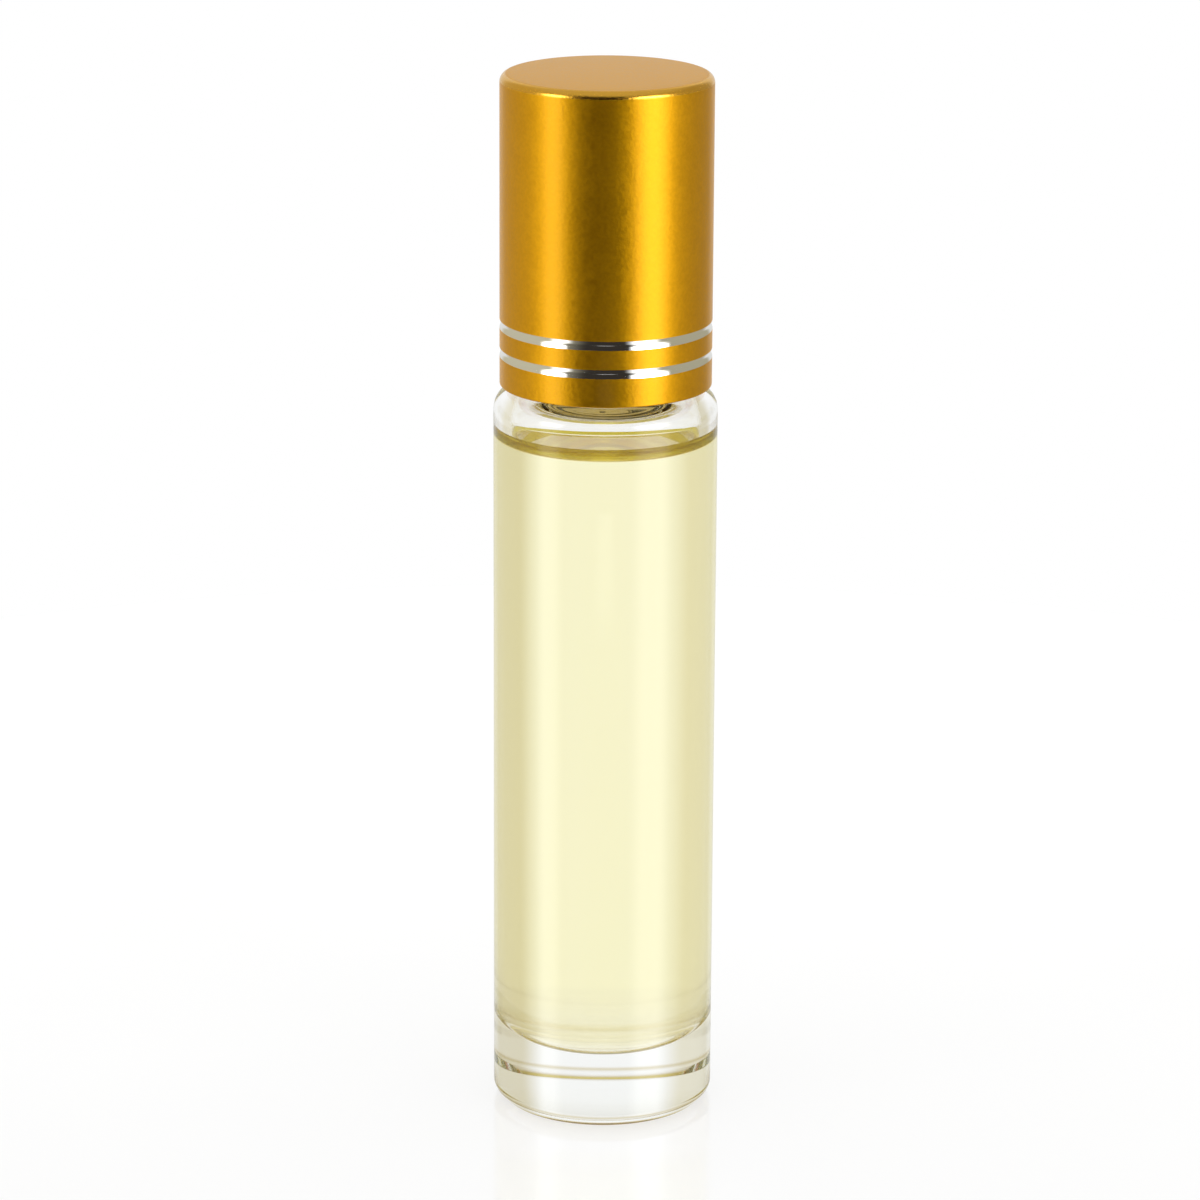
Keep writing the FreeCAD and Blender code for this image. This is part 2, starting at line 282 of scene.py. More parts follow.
@dataclass(frozen=True)
class ClearGlass(Finish):
    """Fire-polished container glass, a little uneven from the mould, with painted golden lines round
    its foot and heel: a painted contact shadow at the foot and a painted reflection of the oil at the
    heel.
    """

    pale: tuple[float, ...] = (1.0, 1.0, 1.0, 1.0)
    deep: tuple[float, ...] = (0.985, 0.995, 0.99, 1.0)
    ior: float = 1.5
    tint: tuple[float, ...] = (0.80, 0.84, 0.78, 1.0)
    tint_per_metre: float = 10.0
    # Colour of the painted golden lines: painted contact shadow at the foot, painted reflection of the
    # oil at the heel.
    painted_golden_lines_colour: tuple[float, ...] = (0.48, 0.35, 0.06, 1.0)
    foot_line: float = 0.28
    heel_line: float = 1.0
    line_width: float = 0.3
    heel_share: float = 0.7
    flow_mm: float = 9.0
    flow_stretch: tuple[float, ...] = (1.0, 1.0, 2.5)
    flow_depth_mm: float = 0.05
    flow_strength: float = 0.25
    speck_mm: float = 0.6
    speck_range: tuple[float, float] = (0.6, 0.95)
    speck_roughness: float = 0.03

    def paint(self, graph: Graph) -> dict[str, Value]:
        """Adds the finish's nodes.

        Args:
            graph: The material's graph.

        Returns:
            What feeds the output.
        """
        flow = graph.noise(self.flow_mm, 1.0, self.flow_stretch)
        specks = graph.step(graph.noise(self.speck_mm, 3.0), *self.speck_range)
        height = graph.along("Z")
        # Masks of the painted golden lines: painted contact shadow at the foot, painted reflection of
        # the oil at the heel.
        foot_end = self.foot_line + self.line_width
        foot = 1.0 - graph.step(height, self.foot_line * MM, foot_end * MM)
        heel = graph.ridge(height, self.heel_line * MM, self.line_width * MM)
        painted_golden_lines = foot + heel * self.heel_share
        clear = graph.mix(flow, self.pale, self.deep)
        surface = graph.node(
            "ShaderNodeBsdfPrincipled",
            None,
            {
                "Base Color": graph.mix(painted_golden_lines, clear, self.painted_golden_lines_colour),
                "Roughness": specks * self.speck_roughness,
                "IOR": self.ior,
                "Transmission Weight": 1.0,
                "Normal": graph.bump(flow, self.flow_depth_mm, self.flow_strength),
            },
        )
        absorbed = {"Color": self.tint, "Density": self.tint_per_metre}
        volume = graph.node("ShaderNodeVolumeAbsorption", None, absorbed)
        return {"Surface": surface, "Volume": volume}


@dataclass(frozen=True)
class PerfumeOil(Finish):
    """Clear oil whose yellow deepens with its thickness, with a darker olive band painted at the
    meniscus as painted shade.
    """

    pale: tuple[float, ...] = (1.0, 1.0, 0.99, 1.0)
    deep: tuple[float, ...] = (1.0, 0.995, 0.965, 1.0)
    ior: float = 1.47
    tint: tuple[float, ...] = (0.995, 0.90, 0.02, 1.0)
    tint_per_metre: float = 26.0
    # A darker olive band painted where the oil climbs the glass: painted shade of the meniscus.
    painted_meniscus_shade: tuple[float, ...] = (0.60, 0.49, 0.05, 1.0)
    rim_start: float = 62.1
    rim_end: float = 62.5
    floor_tint: tuple[float, ...] = (0.96, 0.91, 0.74, 1.0)
    floor_top: float = 6.4
    floor_fade: float = 0.5
    swirl_mm: float = 14.0
    swirl_stretch: tuple[float, ...] = (1.0, 1.0, 3.0)

    def paint(self, graph: Graph) -> dict[str, Value]:
        """Adds the finish's nodes.

        Args:
            graph: The material's graph.

        Returns:
            What feeds the output.
        """
        swirl = graph.noise(self.swirl_mm, 2.0, self.swirl_stretch)
        height = graph.along("Z")
        # Mask of the painted meniscus shade.
        meniscus_shade_mask = graph.step(height, self.rim_start * MM, self.rim_end * MM)
        floor_full = self.floor_top - self.floor_fade
        floor = graph.step(height, self.floor_top * MM, floor_full * MM)
        body = graph.mix(floor, graph.mix(swirl, self.pale, self.deep), self.floor_tint)
        surface = graph.node(
            "ShaderNodeBsdfPrincipled",
            None,
            {
                "Base Color": graph.mix(meniscus_shade_mask, body, self.painted_meniscus_shade),
                "Roughness": 0.0,
                "IOR": self.ior,
                "Transmission Weight": 1.0,
            },
        )
        absorbed = {"Color": self.tint, "Density": self.tint_per_metre}
        volume = graph.node("ShaderNodeVolumeAbsorption", None, absorbed)
        return {"Surface": surface, "Volume": volume}


@dataclass(frozen=True)
class SatinGold(Finish):
    """Gold anodised aluminium over a fine satin blast, with a smoother crown edge whose colour is
    lightened as a painted highlight.
    """

    pale: tuple[float, ...] = (0.85, 0.430, 0.009, 1.0)
    deep: tuple[float, ...] = (0.74, 0.355, 0.003, 1.0)
    edge: tuple[float, ...] = (1.0, 0.95, 0.85, 1.0)
    roughness: float = 0.37
    grain_mm: float = 0.27
    grain_range: tuple[float, float] = (0.3, 0.7)
    grain_share: float = 0.6
    grain_roughness: float = 0.08
    grain_depth_mm: float = 0.011
    grain_strength: float = 0.4
    cloud_mm: float = 5.0
    cloud_roughness: float = 0.05
    coat: float = 0.2
    coat_roughness: float = 0.12
    # Paler gold on the crown's edge: a painted highlight that whitens the glints there.
    painted_glint_gold: tuple[float, ...] = (0.90, 0.50, 0.06, 1.0)
    edge_foot: tuple[float, float] = (94.35, 94.55)
    edge_head: tuple[float, float] = (95.03, 95.08)
    glint_colour_share: float = 0.7
    edge_polish: float = 0.45
    edge_coat: float = 0.2

    def paint(self, graph: Graph) -> dict[str, Value]:
        """Adds the finish's nodes.

        Args:
            graph: The material's graph.

        Returns:
            What feeds the output.
        """
        grain = graph.step(graph.noise(self.grain_mm, 3.0), *self.grain_range)
        cloud = graph.noise(self.cloud_mm, 2.0)
        height = graph.along("Z")
        foot, head = (
            graph.step(height, low * MM, high * MM) for low, high in (self.edge_foot, self.edge_head)
        )
        # The crown's edge: smoother and with more coat, and paler in colour as a painted highlight.
        polished_glint_edge = foot - head
        smoothest = self.roughness - (self.grain_roughness + self.cloud_roughness) / 2
        satin = grain * self.grain_roughness + cloud * self.cloud_roughness + smoothest
        mottle = grain * self.grain_share + cloud * (1.0 - self.grain_share)
        gold = graph.mix(mottle, self.deep, self.pale)
        surface = graph.node(
            "ShaderNodeBsdfPrincipled",
            None,
            {
                "Base Color": graph.mix(polished_glint_edge * self.glint_colour_share, gold, self.painted_glint_gold),
                "Metallic": 1.0,
                "Roughness": satin * (1.0 - polished_glint_edge * self.edge_polish),
                "Normal": graph.bump(grain, self.grain_depth_mm, self.grain_strength),
                "Specular Tint": self.edge,
                "Coat Weight": polished_glint_edge * self.edge_coat + self.coat,
                "Coat Roughness": self.coat_roughness,
            },
        )
        return {"Surface": surface}


@dataclass(frozen=True)
class BrightCut(Finish):
    """Mirror-bright aluminium, turned with a diamond."""

    pale: tuple[float, ...] = (0.93, 0.93, 0.92, 1.0)
    deep: tuple[float, ...] = (0.84, 0.84, 0.83, 1.0)
    roughness: float = 0.03
    ridge_mm: float = 0.03
    ridge_stretch: tuple[float, ...] = (80.0, 80.0, 1.0)
    ridge_roughness: float = 0.06

    def paint(self, graph: Graph) -> dict[str, Value]:
        """Adds the finish's nodes.

        Args:
            graph: The material's graph.

        Returns:
            What feeds the output.
        """
        ridges = graph.noise(self.ridge_mm, 1.0, self.ridge_stretch)
        surface = graph.node(
            "ShaderNodeBsdfPrincipled",
            None,
            {
                "Base Color": graph.mix(ridges, self.deep, self.pale),
                "Metallic": 1.0,
                "Roughness": ridges * self.ridge_roughness + self.roughness,
            },
        )
        return {"Surface": surface}


@dataclass(frozen=True)
class PolishedSteel(Finish):
    """Polished ball steel with faint rolling marks."""

    pale: tuple[float, ...] = (0.80, 0.80, 0.81, 1.0)
    deep: tuple[float, ...] = (0.66, 0.66, 0.68, 1.0)
    roughness: float = 0.06
    mark_mm: float = 0.12
    mark_stretch: tuple[float, ...] = (6.0, 1.0, 1.0)
    scratch_range: tuple[float, float] = (0.60, 0.72)
    scratch_roughness: float = 0.10
    scratch_depth_mm: float = 0.002
    scratch_strength: float = 0.3
    cloud_mm: float = 2.5
    cloud_roughness: float = 0.05

    def paint(self, graph: Graph) -> dict[str, Value]:
        """Adds the finish's nodes.

        Args:
            graph: The material's graph.

        Returns:
            What feeds the output.
        """
        marks = graph.noise(self.mark_mm, 4.0, self.mark_stretch)
        cloud = graph.noise(self.cloud_mm, 2.0)
        scratches = graph.step(marks, *self.scratch_range)
        polish = cloud * self.cloud_roughness + self.roughness
        surface = graph.node(
            "ShaderNodeBsdfPrincipled",
            None,
            {
                "Base Color": graph.mix(cloud, self.deep, self.pale),
                "Metallic": 1.0,
                "Roughness": scratches * self.scratch_roughness + polish,
                "Normal": graph.bump(scratches, self.scratch_depth_mm, self.scratch_strength),
            },
        )
        return {"Surface": surface}


@dataclass(frozen=True)
class MouldedPlastic(Finish):
    """Moulded plastic with a soft sheen and faint flow marks, and a painted warm glow low down that
    stands in for light coming up through the oil.
    """

    pale: tuple[float, ...] = (0.86, 0.86, 0.84, 1.0)
    deep: tuple[float, ...] = (0.78, 0.78, 0.755, 1.0)
    roughness: float = 0.38
    flow_mm: float = 3.0
    flow_stretch: tuple[float, ...] = (1.0, 1.0, 2.0)
    flow_roughness: float = 0.08
    spark_mm: float = 0.09
    spark_roughness: float = 0.16
    spark_depth_mm: float = 0.012
    spark_strength: float = 0.4
    glow: float = 0.2
    glow_reach: tuple[float, ...] = (0.6, 0.6, 0.55)
    # Painted light: a warm glow emitted below a height, standing in for light that comes up through
    # the oil.
    painted_inner_glow: tuple[float, ...] = (0.24, 0.17, 0.045, 1.0)
    painted_glow_top: float = 78.5
    painted_glow_fade: float = 3.0

    def paint(self, graph: Graph) -> dict[str, Value]:
        """Adds the finish's nodes.

        Args:
            graph: The material's graph.

        Returns:
            What feeds the output.
        """
        flow = graph.noise(self.flow_mm, 3.0, self.flow_stretch)
        spark = graph.noise(self.spark_mm, 2.0)
        height = graph.along("Z")
        # Mask of the painted glow, full below its top height.
        painted_glow_mask = graph.step(height, self.painted_glow_top * MM, (self.painted_glow_top - self.painted_glow_fade) * MM)
        smoothest = self.roughness - (self.spark_roughness + self.flow_roughness) / 2
        surface = graph.node(
            "ShaderNodeBsdfPrincipled",
            None,
            {
                "Base Color": graph.mix(flow, self.deep, self.pale),
                "Roughness": spark * self.spark_roughness + flow * self.flow_roughness + smoothest,
                "Subsurface Weight": self.glow,
                "Subsurface Radius": self.glow_reach,
                "Subsurface Scale": MM,
                "Emission Color": graph.mix(painted_glow_mask, BLACK, self.painted_inner_glow),
                "Emission Strength": 1.0,
                "Normal": graph.bump(spark, self.spark_depth_mm, self.spark_strength),
            },
        )
        return {"Surface": surface}


@dataclass(frozen=True)
class ClosedCellFoam(Finish):
    """Fine closed-cell foam with small pores."""

    pale: tuple[float, ...] = (0.85, 0.85, 0.82, 1.0)
    deep: tuple[float, ...] = (0.60, 0.60, 0.57, 1.0)
    roughness: float = 0.75
    cell_mm: float = 0.22
    pore_range: tuple[float, float] = (0.10, 0.45)
    pore_share: float = 0.7
    pore_depth_mm: float = 0.06
    pore_strength: float = 0.7
    mottle_mm: float = 1.2
    mottle_roughness: float = 0.15

    def paint(self, graph: Graph) -> dict[str, Value]:
        """Adds the finish's nodes.

        Args:
            graph: The material's graph.

        Returns:
            What feeds the output.
        """
        cells = graph.node(
            "ShaderNodeTexVoronoi",
            {"feature": "F1"},
            {"Vector": graph.place(), "Scale": 1.0 / (self.cell_mm * MM)},
            "Distance",
        )
        mottle = graph.noise(self.mottle_mm, 3.0)
        # The pores are darker as painted shade in their pits; the mottle is random tone.
        pores = graph.step(cells, *self.pore_range)
        pore_shade_and_mottle = pores * self.pore_share + mottle * (1.0 - self.pore_share)
        surface = graph.node(
            "ShaderNodeBsdfPrincipled",
            None,
            {
                "Base Color": graph.mix(pore_shade_and_mottle, self.deep, self.pale),
                "Roughness": mottle * self.mottle_roughness + self.roughness,
                "Normal": graph.bump(pores, self.pore_depth_mm, self.pore_strength),
            },
        )
        return {"Surface": surface}


@dataclass(frozen=True)
class FadingCard(Finish):
    """White card whose near end and sides fade out, so that glass mirrors no edge of it."""

    pore_shade_and_mottle: tuple[float, ...] = (0.68, 0.68, 0.68, 1.0)
    near_end: float = -0.175
    near_full: float = -0.235
    side_end: float = 0.06
    side_full: float = 0.015

    def paint(self, graph: Graph) -> dict[str, Value]:
        """Adds the finish's nodes.

        Args:
            graph: The material's graph.

        Returns:
            What feeds the output.
        """
        off_middle = graph.maths("ABSOLUTE", graph.along("X"))
        far = graph.step(graph.along("Y"), self.near_end, self.near_full)
        shown = far * graph.step(off_middle, self.side_end, self.side_full)
        matt = {"Base Color": self.pore_shade_and_mottle, "Roughness": 1.0}
        white = graph.node("ShaderNodeBsdfPrincipled", None, matt)
        clear = graph.node("ShaderNodeBsdfTransparent")
        surface = graph.node("ShaderNodeMixShader", None, {0: shown, 1: clear, 2: white})
        return {"Surface": surface}


@dataclass(frozen=True)
class WhiteTable(Finish):
    """Back-lit white acrylic with a faint reflection."""

    pale: tuple[float, ...] = (0.74, 0.74, 0.74, 1.0)
    deep: tuple[float, ...] = (0.72, 0.72, 0.72, 1.0)
    body: tuple[float, ...] = (0.20, 0.20, 0.20, 1.0)
    roughness: float = 0.06
    haze_mm: float = 40.0
    haze_roughness: float = 0.04

    def paint(self, graph: Graph) -> dict[str, Value]:
        """Adds the finish's nodes.

        Args:
            graph: The material's graph.

        Returns:
            What feeds the output.
        """
        haze = graph.noise(self.haze_mm, 2.0)
        surface = graph.node(
            "ShaderNodeBsdfPrincipled",
            None,
            {
                "Base Color": self.body,
                "Roughness": haze * self.haze_roughness + self.roughness,
                "Emission Color": graph.mix(haze, self.deep, self.pale),
                "Emission Strength": 1.0,
            },
        )
        return {"Surface": surface}


@dataclass(frozen=True)
class Corner:
    """A corner of a half section, in millimetres.

    Its rounding is a radius, and its rows divide the run up to the next corner.
    """

    across: float
    up: float
    rounding: float = 0.0
    rows: int = 1

    def point(self) -> Vector:
        """The corner's place, in metres."""
        return Vector((self.across * MM, 0.0, self.up * MM))


@dataclass(frozen=True)
class Thread:
    """A rounded right-hand thread on a turned wall, in millimetres."""

    root_radius: float
    start: float
    turns: float
    pitch: float
    height: float
    root_width: float
    side: ThreadSide
    row_height: float
    run_out_turns: float = 0.18
    flank_power: float = 0.8

    def wall(self) -> list["Corner"]:
        """The wall that the thread is cut in, divided into rows."""
        foot, top = self.start - self.pitch / 2, self.start + self.pitch * (self.turns + 0.5)
        rows = round((top - foot) / self.row_height)
        return [Corner(self.root_radius, foot, rows=rows), Corner(self.root_radius, top)]

    def rise(self, angle: float, up: float) -> float:
        """How far the thread stands from its wall.

        Args:
            angle: The angle about the bottle's axis.
            up: The height above the table.

        Returns:
            The rise, in millimetres.
        """
        turn = angle / math.tau
        ridge = round((up - self.start) / self.pitch - turn) + turn
        off_crest = abs(up - self.start - self.pitch * ridge) / (self.root_width / 2)
        ends = min(ridge, self.turns - ridge) / self.run_out_turns
        if off_crest >= 1.0 or ends <= 0.0:
            return 0.0
        flank = math.cos(off_crest * math.pi / 2) ** self.flank_power
        return self.height * flank * math.sin(min(ends, 1.0) * math.pi / 2)

    def cut(self, mesh: bmesh.types.BMesh) -> None:
        """Moves the wall's vertices to the thread's form.

        Args:
            mesh: The turned piece.
        """
        for vertex in mesh.verts:
            across = Vector((vertex.co.x, vertex.co.y))
            if abs(across.length - self.root_radius * MM) > WALL_REACH:
                continue
            rise = self.rise(math.atan2(across.y, across.x), vertex.co.z / MM)
            moved = across * (1.0 + self.side.value * rise / self.root_radius)
            vertex.co.x, vertex.co.y = moved


@dataclass(frozen=True)
class Lathe:
    """Turns half sections about the bottle's axis."""

    steps: int = 192
    arc_segments: int = 10

    def turn(self, corners: Sequence[Corner], closed: bool = False) -> bmesh.types.BMesh:
        """Turns a half section into a closed solid.

        Args:
            corners: The section's corners, in order.
            closed: Whether the last corner joins the first, as in a ring. Otherwise both ends
                are on the axis.

        Returns:
            The solid, with its faces outwards.
        """
        mesh = bmesh.new()
        self._draw(mesh, corners, closed)
        bmesh.ops.spin(
            mesh,
            geom=[*mesh.verts, *mesh.edges],
            cent=(0.0, 0.0, 0.0),
            axis=AXIS,
            angle=math.tau,
            steps=self.steps,
            use_merge=True,
        )
        bmesh.ops.remove_doubles(mesh, verts=mesh.verts, dist=MERGE_REACH)
        bmesh.ops.recalc_face_normals(mesh, faces=mesh.faces)
        return mesh

    def _draw(self, mesh: bmesh.types.BMesh, corners: Sequence[Corner], closed: bool) -> None:
        """Draws the section as a wire, divides its runs and rounds its corners.

        Args:
            mesh: An empty mesh.
            corners: The section's corners, in order.
            closed: Whether the last corner joins the first.
        """
        points = [corner.point() for corner in corners]
        vertices = [mesh.verts.new(point) for point in points]
        runs = list(zip(vertices, vertices[1:]))
        if closed:
            runs.append((vertices[-1], vertices[0]))
        for run in runs:
            mesh.edges.new(run)
        for index, corner in enumerate(corners):
            if not corner.rounding:
                continue
            back = points[index - 1] - points[index]
            onward = points[(index + 1) % len(points)] - points[index]
            bmesh.ops.bevel(
                mesh,
                geom=[vertices[index]],
                offset=corner.rounding * MM / math.tan(back.angle(onward) / 2),
                offset_type="OFFSET",
                segments=self.arc_segments,
                profile=0.5,
                affect="VERTICES",
                material=-1,
            )
        divided = [
            (mesh.edges.get(run), corner.rows) for run, corner in zip(runs, corners) if corner.rows > 1
        ]
        for edge, rows in divided:
            bmesh.ops.subdivide_edges(mesh, edges=[edge], cuts=rows - 1)


def make_piece(
    name: str,
    mesh: bmesh.types.BMesh,
    finishes: Sequence[Finish],
    body: Body,
    node: str | None = None,
    crease_deg: float = 40.0,
) -> bpy.types.Object:
    """Makes an object of a finished mesh and ties it to the frame.

    Args:
        name: The piece's name.
        mesh: The finished mesh, which is freed.
        finishes: Its finishes, in the order of its material places.
        body: The body that it rides on.
        node: The CAD node that it stands for.
        crease_deg: The angle past which an edge stays crisp.

    Returns:
        The object.
    """
    data = bpy.data.meshes.new(name)
    for face in mesh.faces:
        face.smooth = True
    mesh.to_mesh(data)
    mesh.free()
    data.set_sharp_from_angle(angle=math.radians(crease_deg))
    for finish in finishes:
        data.materials.append(finish.material())
    piece = bpy.data.objects.new(name, data)
    bpy.context.scene.collection.objects.link(piece)
    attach(piece, body.value)
    if node:
        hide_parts(node)
    LOG.info("%s: %d faces on %s", name, len(data.polygons), body.value)
    return piece


@dataclass
class Neck:
    """Sizes of the bottle's neck and of the thread that the cap runs on, in millimetres."""

    radius: float = 7.0
    bore: float = 5.5
    lip_height: float = 79.2
    pitch: float = 3.0
    thread_start: float = 70.2
    thread_turns: float = 1.9
    thread_height: float = 0.55
    thread_width: float = 1.7
    thread_room: float = 0.8
    row_height: float = 0.16

    def thread(self, root_radius: float, start: float, side: ThreadSide) -> Thread:
        """Lays the thread on a wall.

        Args:
            root_radius: The wall's radius.
            start: The height at which the thread starts.
            side: Which way it stands up.

        Returns:
            The thread.
        """
        return Thread(
            root_radius, start, self.thread_turns, self.pitch, self.thread_height, self.thread_width,
            side, self.row_height,
        )


@dataclass
class Bottle:
    """Glass bottle with a heavy base, and the oil in it."""

    neck: Neck
    lathe: Lathe = field(default_factory=Lathe)
    radius: float = 10.0
    wall: float = 1.65
    heel_width: float = 0.9
    heel_height: float = 0.9
    heel_foot_rounding: float = 0.35
    heel_top_rounding: float = 1.0
    punt_flat_radius: float = 7.6
    punt_radius: float = 8.3
    punt_depth: float = 0.6
    punt_rounding: float = 0.35
    floor_height: float = 5.9
    floor_rounding: float = 4.6
    shoulder_height: float = 66.9
    shoulder_rounding: float = 2.0
    shoulder_wall: float = 1.4
    inner_rounding: float = 1.2
    entry_rounding: float = 1.4
    neck_foot_rounding: float = 0.5
    lip_rounding: float = 0.45
    oil_level: float = 62.0
    meniscus_rise: float = 1.3
    meniscus_share: float = 0.99
    wetting: float = 0.04

    def build(self) -> None:
        """Builds the glass and the oil."""
        self.build_glass()
        self.build_oil()

    def build_glass(self) -> bpy.types.Object:
        """Builds the glass.

        Returns:
            The glass.
        """
        neck = self.neck
        cavity = self.radius - self.wall
        ceiling = self.shoulder_height - self.shoulder_wall
        thread = neck.thread(neck.radius, neck.thread_start, ThreadSide.OUTWARD)
        mesh = self.lathe.turn([
            Corner(0.0, self.punt_depth),
            Corner(self.punt_flat_radius, self.punt_depth, self.punt_rounding),
            Corner(self.punt_radius, 0.0, self.punt_rounding),
            Corner(self.radius - self.heel_width, 0.0, self.heel_foot_rounding),
            Corner(self.radius, self.heel_height, self.heel_top_rounding),
            Corner(self.radius, self.shoulder_height, self.shoulder_rounding),
            Corner(neck.radius, self.shoulder_height, self.neck_foot_rounding),
            *thread.wall(),
            Corner(neck.radius, neck.lip_height, self.lip_rounding),
            Corner(neck.bore, neck.lip_height, self.lip_rounding),
            Corner(neck.bore, ceiling, self.entry_rounding),
            Corner(cavity, ceiling, self.inner_rounding),
            Corner(cavity, self.floor_height, self.floor_rounding),
            Corner(0.0, self.floor_height),
        ])
        thread.cut(mesh)
        return make_piece(
            "glass", mesh, [ClearGlass("clear_glass")], Body.BOTTLE, "glass_bottle"
        )

    def build_oil(self) -> bpy.types.Object:
        """Builds the oil, which wets the glass and climbs it as a meniscus.

        Returns:
            The oil.
        """
        cavity = self.radius - self.wall
        outside = cavity + self.wetting
        surface_edge = cavity + self.wetting / 4
        oil_floor = self.floor_height - self.wetting
        contact = self.oil_level + self.meniscus_rise
        mesh = self.lathe.turn([
            Corner(0.0, oil_floor),
            Corner(outside, oil_floor, self.floor_rounding + self.wetting),
            Corner(outside, contact),
            Corner(surface_edge, contact),
            Corner(surface_edge, self.oil_level, self.meniscus_rise * self.meniscus_share),
            Corner(0.0, self.oil_level),
        ])
        return make_piece(
            "oil_fill", mesh, [PerfumeOil("perfume_oil")], Body.BOTTLE, "perfume_oil"
        )


@dataclass
class Roller:
    """Steel ball and the moulded housing that holds it in the neck."""

    neck: Neck
    lathe: Lathe = field(default_factory=lambda: Lathe(steps=128, arc_segments=6))
    socket_radius: float = 5.08
    mouth_radius: float = 4.53
    mouth_foot: float = 83.5
    mouth_rounding: float = 0.12
    cup_radius: float = 6.28
    cup_top: float = 84.8
    cup_rounding: float = 0.5
    cup_foot_rounding: float = 0.12
    flange_radius: float = 6.7
    flange_thickness: float = 0.9
    flange_foot_rounding: float = 0.12
    flange_rounding: float = 0.25
    plug_radius: float = 5.3
    plug_bore: float = 4.45
    plug_depth: float = 7.0
    plug_lead: float = 0.5
    plug_bore_rounding: float = 0.15
    plug_tip_rounding: float = 0.1
    plug_lead_rounding: float = 0.2
    bead_height: float = 0.18
    bead_width: float = 0.8
    bead_rounding: float = 0.3
    bead_drops: tuple[float, ...] = (5.2, 2.8)
    throat_radius: float = 2.8
    seat_top: float = 80.5
    throat_top: float = 78.06
    seat_underside: float = 77.56
    seat_rounding: float = 0.2

    def build(self, nodes: Mapping[str, bpy.types.Object]) -> None:
        """Builds the housing and dresses the ball."""
        self.build_housing()
        self.dress_ball(nodes["roller_ball"])

    def build_housing(self) -> bpy.types.Object:
        """Builds the housing: plug with sealing beads, flange, and cup that closes in over the ball.

        Returns:
            The housing.
        """
        lip = self.neck.lip_height
        flange_top = lip + self.flange_thickness
        plug_bottom = lip - self.plug_depth
        half_bead = self.bead_width / 2
        beads = [
            corner
            for drop in self.bead_drops
            for corner in (
                Corner(self.plug_radius, lip - drop - half_bead),
                Corner(self.plug_radius + self.bead_height, lip - drop, self.bead_rounding),
                Corner(self.plug_radius, lip - drop + half_bead),
            )
        ]
        mesh = self.lathe.turn([
            Corner(self.plug_bore, plug_bottom, self.plug_bore_rounding),
            Corner(self.plug_radius - self.plug_lead / 2, plug_bottom, self.plug_tip_rounding),
            Corner(self.plug_radius, plug_bottom + self.plug_lead, self.plug_lead_rounding),
            *beads,
            Corner(self.plug_radius, lip),
            Corner(self.flange_radius, lip, self.flange_foot_rounding),
            Corner(self.flange_radius, flange_top, self.flange_rounding),
            Corner(self.cup_radius, flange_top, self.cup_foot_rounding),
            Corner(self.cup_radius, self.cup_top, self.cup_rounding),
            Corner(self.mouth_radius, self.cup_top, self.mouth_rounding),
            Corner(self.socket_radius, self.mouth_foot),
            Corner(self.socket_radius, self.seat_top),
            Corner(self.throat_radius, self.throat_top),
            Corner(self.throat_radius, self.seat_underside),
            Corner(self.plug_bore, self.seat_underside, self.seat_rounding),
        ], closed=True)
        return make_piece(
            "housing", mesh, [MouldedPlastic("natural_plastic")], Body.BOTTLE,
            "roller_housing",
        )

    def dress_ball(self, ball: bpy.types.Object) -> None:
        """Gives the ball its steel.

        Args:
            ball: The frame's own ball.
        """
        ball.data.materials.clear()
        ball.data.materials.append(PolishedSteel("ball_steel").material())
        LOG.info("%s: dressed", ball.name)


